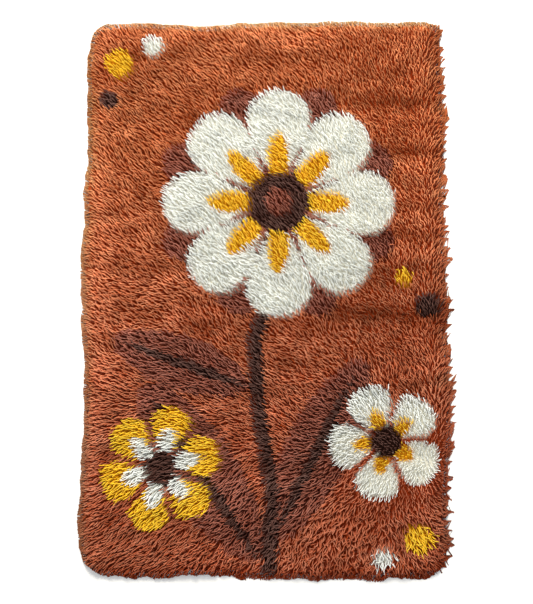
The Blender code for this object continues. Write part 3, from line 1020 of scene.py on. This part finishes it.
def settle(mesh):
    """Draw stray tips in to the rim, and press a mesh of tufts down under the slab's soft edge."""
    points = np.empty(len(mesh.vertices) * 3, dtype=np.float32)
    mesh.vertices.foreach_get("co", points)
    points = points.reshape(-1, 3)
    x, y = points[:, 0].copy(), points[:, 1].copy()
    astray = np.maximum(read_map(past_rim_map, x, y) - spill_at(x, y), 0.0) * (1.0 - SPILL_HOLD)
    points[:, 0] -= astray * read_map(out_x_map, x, y)
    points[:, 1] -= astray * read_map(out_y_map, x, y)
    room = read_map(envelope_map, points[:, 0], points[:, 1])
    press = np.clip(room / RIM_PRESS, LEAST_PRESS, 1.0)
    points[:, 2] = np.maximum(points[:, 2] * press, FLOOR_GAP)
    mesh.vertices.foreach_set("co", points.ravel())


# %% Knots to tufts
KNOT_NUMBERS = {
    "lift": knot_lift,
    "tone": knot_tone,
    "edge": knot_edge,
    "show": knot_show,
    "loose": knot_loose,
    "thick": knot_thick,
}
KNOT_VECTORS = {"lean": knot_lean, "light": knot_light}
socket_ids = {
    item.name: item.identifier
    for item in tuft_tree.interface.items_tree
    if item.in_out == "INPUT"
}


def tie_tufts(name, chosen, yarn):
    """One piece of tufts, on the chosen knots."""
    count = int(chosen.sum())
    points = np.stack([knot_x[chosen], knot_y[chosen], np.full(count, ROOT_HEIGHT)], axis=1)
    knots = bpy.data.meshes.new(name)
    knots.vertices.add(count)
    knots.vertices.foreach_set("co", points.ravel())
    knots.attributes.new("shape", "INT", "POINT").data.foreach_set("value", knot_shape[chosen])
    for key, values in KNOT_NUMBERS.items():
        knots.attributes.new(key, "FLOAT", "POINT").data.foreach_set("value", values[chosen])
    for key, values in KNOT_VECTORS.items():
        stored = knots.attributes.new(key, "FLOAT_VECTOR", "POINT")
        stored.data.foreach_set("vector", values[chosen].ravel())
    piece = place_object(name, knots)
    modifier = piece.modifiers.new("tufts", "NODES")
    modifier.node_group = tuft_tree
    modifier[socket_ids["Yarn"]] = yarn_materials[yarn]
    modifier[socket_ids["Seed"]] = count
    view_layer = bpy.context.evaluated_depsgraph_get()
    made = bpy.data.meshes.new_from_object(piece.evaluated_get(view_layer))
    piece.modifiers.clear()
    piece.data = made
    made.name = name
    settle(made)
    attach(piece, "root")
    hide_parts("pile")
    print(name, count, "knots", len(made.polygons), "faces")


# %% Every piece of tufts
# Columns: name of the band, where it starts and where it ends along y.
RUST_BANDS = (
    ("near", -1.0, -0.36),
    ("low", -0.36, -0.10),
    ("middle", -0.10, 0.16),
    ("high", 0.16, 0.40),
    ("far", 0.40, 1.0),
)
for band, start, end in RUST_BANDS:
    in_band = (knot_yarn == RUST) & (knot_y >= start) & (knot_y < end)
    tie_tufts("tufts_rust_" + band, in_band, "rust")
for number, yarn_name in enumerate(YARN_NAMES):
    if number != RUST:
        tie_tufts("tufts_" + yarn_name, knot_yarn == number, yarn_name)

# %% [markdown]
# ## Under the tufts
# Deep between the tufts the roots stand so close that they read as one dark, woolly mass, mostly
# in shadow. A low lumpy bed under the tufts stands for it. Each of its points takes a darker
# colour of the yarn above it, as painted shade, and a paler one near the far rim as painted
# light, where the roots see more light.

# %% Bed of roots
BED_STEP = 0.008
# The bed's share of the pile's height inside and at its rim, and the width of the slope between.
BED_SHARE = 0.50
BED_RIM_SHARE = 0.15
BED_SLOPE = 0.020
# How far the bed ends inside the spill of the tufts, which is further on the right.
BED_GAP = 0.0110
BED_RIGHT_GAP = 0.0145
bed_x, bed_y = np.meshgrid(
    np.arange(low_corner[0], high_corner[0] + BED_STEP, BED_STEP),
    np.arange(low_corner[1], high_corner[1] + BED_STEP, BED_STEP),
)
bed_room = read_map(envelope_map, bed_x, bed_y)


def bed_overlap(x, y):
    """How far a place stands inside the line where the bed ends."""
    right = np.clip(read_map(out_x_map, x, y), 0.0, 1.0)
    gap = BED_GAP * (1.0 - right) + BED_RIGHT_GAP * right
    return spill_line(x, y) - read_map(past_rim_map, x, y) - gap


bed_depth = bed_overlap(bed_x.ravel(), bed_y.ravel()).reshape(bed_x.shape)
bed_inside = bed_depth > 0.0
bed_height = bed_room * np.interp(bed_depth, (0.0, BED_SLOPE), (BED_RIM_SHARE, BED_SHARE))
bed_mesh = bmesh.new()
bed_top = {}
for row, column in zip(*np.nonzero(bed_inside)):
    place = (bed_x[row, column], bed_y[row, column], bed_height[row, column])
    bed_top[row, column] = bed_mesh.verts.new(place)
for row, column in bed_top:
    around = ((row, column), (row, column + 1), (row + 1, column + 1), (row + 1, column))
    corners = [bed_top.get(key) for key in around]
    if all(corners):
        bed_mesh.faces.new(corners)
stray = [vert for vert in bed_mesh.verts if not vert.link_faces]
bmesh.ops.delete(bed_mesh, geom=stray, context="VERTS")
print("top of the bed:", len(bed_mesh.faces), "faces")


# %% Close the bed underneath
# The rim of the bed is first drawn out to the line where it ends. Then two rings close it.
# Columns: how far each ring stands in from the one before it, and its height.
BED_RINGS = ((0.0, 0.0006), (0.016, 0.0030))


def out_at(x, y):
    """Unit vector out of the rug at one place."""
    here_x, here_y = np.array([x]), np.array([y])
    out = Vector((read_map(out_x_map, here_x, here_y)[0], read_map(out_y_map, here_x, here_y)[0]))
    return out.normalized()


open_ring = {vert for edge in bed_mesh.edges if edge.is_boundary for vert in edge.verts}
for vert in open_ring:
    out = out_at(vert.co.x, vert.co.y)
    vert.co.xy += out.xy * float(bed_overlap(np.array([vert.co.x]), np.array([vert.co.y]))[0])

for inwards, height in BED_RINGS:
    ring = [edge for edge in bed_mesh.edges if edge.is_boundary]
    for item in bmesh.ops.extrude_edge_only(bed_mesh, edges=ring)["geom"]:
        if isinstance(item, bmesh.types.BMVert):
            out = out_at(item.co.x, item.co.y)
            item.co = (item.co.x - out.x * inwards, item.co.y - out.y * inwards, height)
bmesh.ops.holes_fill(bed_mesh, edges=[edge for edge in bed_mesh.edges if edge.is_boundary])
bmesh.ops.recalc_face_normals(bed_mesh, faces=bed_mesh.faces)
bed_data = bpy.data.meshes.new("bed_of_roots")
bed_mesh.to_mesh(bed_data)
bed_mesh.free()
bed_data.shade_smooth()
bed = place_object("bed_of_roots", bed_data)
print("closed bed:", len(bed_data.polygons), "faces")

# %% Shades of the bed
# Painted shadow colours of the roots, linear, in the order of YARN_NAMES: rust, cream, gold,
# dark brown and mauve brown.
BED_SHADOW_COLOURS = (
    (0.260, 0.026, 0.001),
    (0.700, 0.680, 0.580),
    (0.520, 0.200, 0.002),
    (0.016, 0.003, 0.001),
    (0.080, 0.010, 0.003),
)
BED_LIT_WIDTH = 0.016

spot_x, spot_y = np.array([vert.co.xy for vert in bed_data.vertices]).T
bed_yarn = yarn_at(spot_x, spot_y)
# Each point takes the painted shadow colour of its yarn, and near the rim, most at the far end, the
# yarn's shaded colour as painted light.
bed_shades = np.array([(*BED_SHADOW_COLOURS[n], 1.0) for n in bed_yarn], dtype=np.float32)
pale_shades = np.array([(*YARNS[YARN_NAMES[n]][1], 1.0) for n in bed_yarn], dtype=np.float32)
bed_lit_share = np.clip(1.0 - bed_overlap(spot_x, spot_y) / BED_LIT_WIDTH, 0.0, 1.0)
bed_lit_share *= 0.5 + 0.5 * np.clip(read_map(out_y_map, spot_x, spot_y), -1.0, 1.0)
bed_shades += (pale_shades - bed_shades) * bed_lit_share[:, None]
bed_data.color_attributes.new("shade", "FLOAT_COLOR", "POINT").data.foreach_set(
    "color", bed_shades.ravel())
print("shades on", len(bed_shades), "points")

# %% Wool of the bed
CURL_SCALE = 260.0

root_wool, wool_tree, wool_shader = plain_material("root_wool", roughness=0.95, gloss=0.1)
wool_shader.inputs["Sheen Weight"].default_value = 0.1
wool_place = wool_tree.nodes.new("ShaderNodeTexCoord")
curl = add(wool_tree, "ShaderNodeTexNoise", {"Scale": CURL_SCALE, "Detail": 4.0},
           {"Vector": wool_place.outputs["Object"]})
curl_level = add(wool_tree, "ShaderNodeMapRange", {"To Min": 0.55, "To Max": 1.35},
                 {"Value": curl.outputs["Fac"]})
# The bed's painted shade colours, varied by the curl.
curled = scaled(wool_tree, read_paint(wool_tree, "shade", "Color"), curl_level.outputs[0])
wool_tree.links.new(curled, wool_shader.inputs["Base Color"])
curl_bump = add(wool_tree, "ShaderNodeBump", {"Strength": 0.8, "Distance": 0.002},
                {"Height": curl.outputs["Fac"]})
wool_tree.links.new(curl_bump.outputs[0], wool_shader.inputs["Normal"])
bed_data.materials.append(root_wool)
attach(bed, "root")
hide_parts("pile")
print("bed of roots wears", root_wool.name)

# %% [markdown]
# ## The ground cloth
# The ground is a plain weave, seen only from below and where the rim lifts. Its sheet is a clean
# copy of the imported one, a little smaller than the pile. Waves across and along it make the
# threads, and slower ones the rows of knots, which show as faint ridges.

# %% Ground cloth
# Scales of the waves for the warp, the weft and the rows of knots. Each unit of a scale makes
# about 3.2 waves to the metre.
WARP_SCALE, WEFT_SCALE, ROW_SCALE = 110.0, 95.0, 31.4
THREAD_SHADED = (0.25, 0.185, 0.115, 1.0)
THREAD_LIGHT = (0.52, 0.43, 0.31, 1.0)

source = bmesh.new()
source.from_mesh(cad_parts["ground_cloth"].data)
bmesh.ops.remove_doubles(source, verts=source.verts, dist=1e-6)
bmesh.ops.dissolve_limit(source, angle_limit=0.02, verts=source.verts, edges=source.edges)
cloth_data = bpy.data.meshes.new("woven_ground")
source.to_mesh(cloth_data)
source.free()
cloth = place_object("woven_ground", cloth_data)

ground_weave, weave_tree, weave_shader = plain_material("ground_weave", roughness=0.92, gloss=0.15)
weave_place = weave_tree.nodes.new("ShaderNodeTexCoord")
warp = add(weave_tree, "ShaderNodeTexWave", {"Scale": WARP_SCALE, "Distortion": 1.2, "Detail": 1.0},
           {"Vector": weave_place.outputs["Object"]}, bands_direction="X")
weft = add(weave_tree, "ShaderNodeTexWave", {"Scale": WEFT_SCALE, "Distortion": 1.6, "Detail": 1.0},
           {"Vector": weave_place.outputs["Object"]}, bands_direction="Y")
knot_rows = add(weave_tree, "ShaderNodeTexWave", {"Scale": ROW_SCALE, "Distortion": 0.6},
                {"Vector": weave_place.outputs["Object"]}, bands_direction="Y")
crossing = maths(weave_tree, "MULTIPLY", warp.outputs["Fac"], weft.outputs["Fac"])
ridges = maths(weave_tree, "ADD", crossing, knot_rows.outputs["Fac"])
weave_colour = add(weave_tree, "ShaderNodeMix", {6: THREAD_SHADED, 7: THREAD_LIGHT},
                   {0: crossing}, data_type="RGBA")
weave_tree.links.new(weave_colour.outputs[2], weave_shader.inputs["Base Color"])
weave_bump = add(weave_tree, "ShaderNodeBump", {"Strength": 0.7, "Distance": 0.0008},
                 {"Height": ridges})
weave_tree.links.new(weave_bump.outputs[0], weave_shader.inputs["Normal"])
cloth_data.materials.clear()
cloth_data.materials.append(ground_weave)
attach(cloth, "root")
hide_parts("ground_cloth")
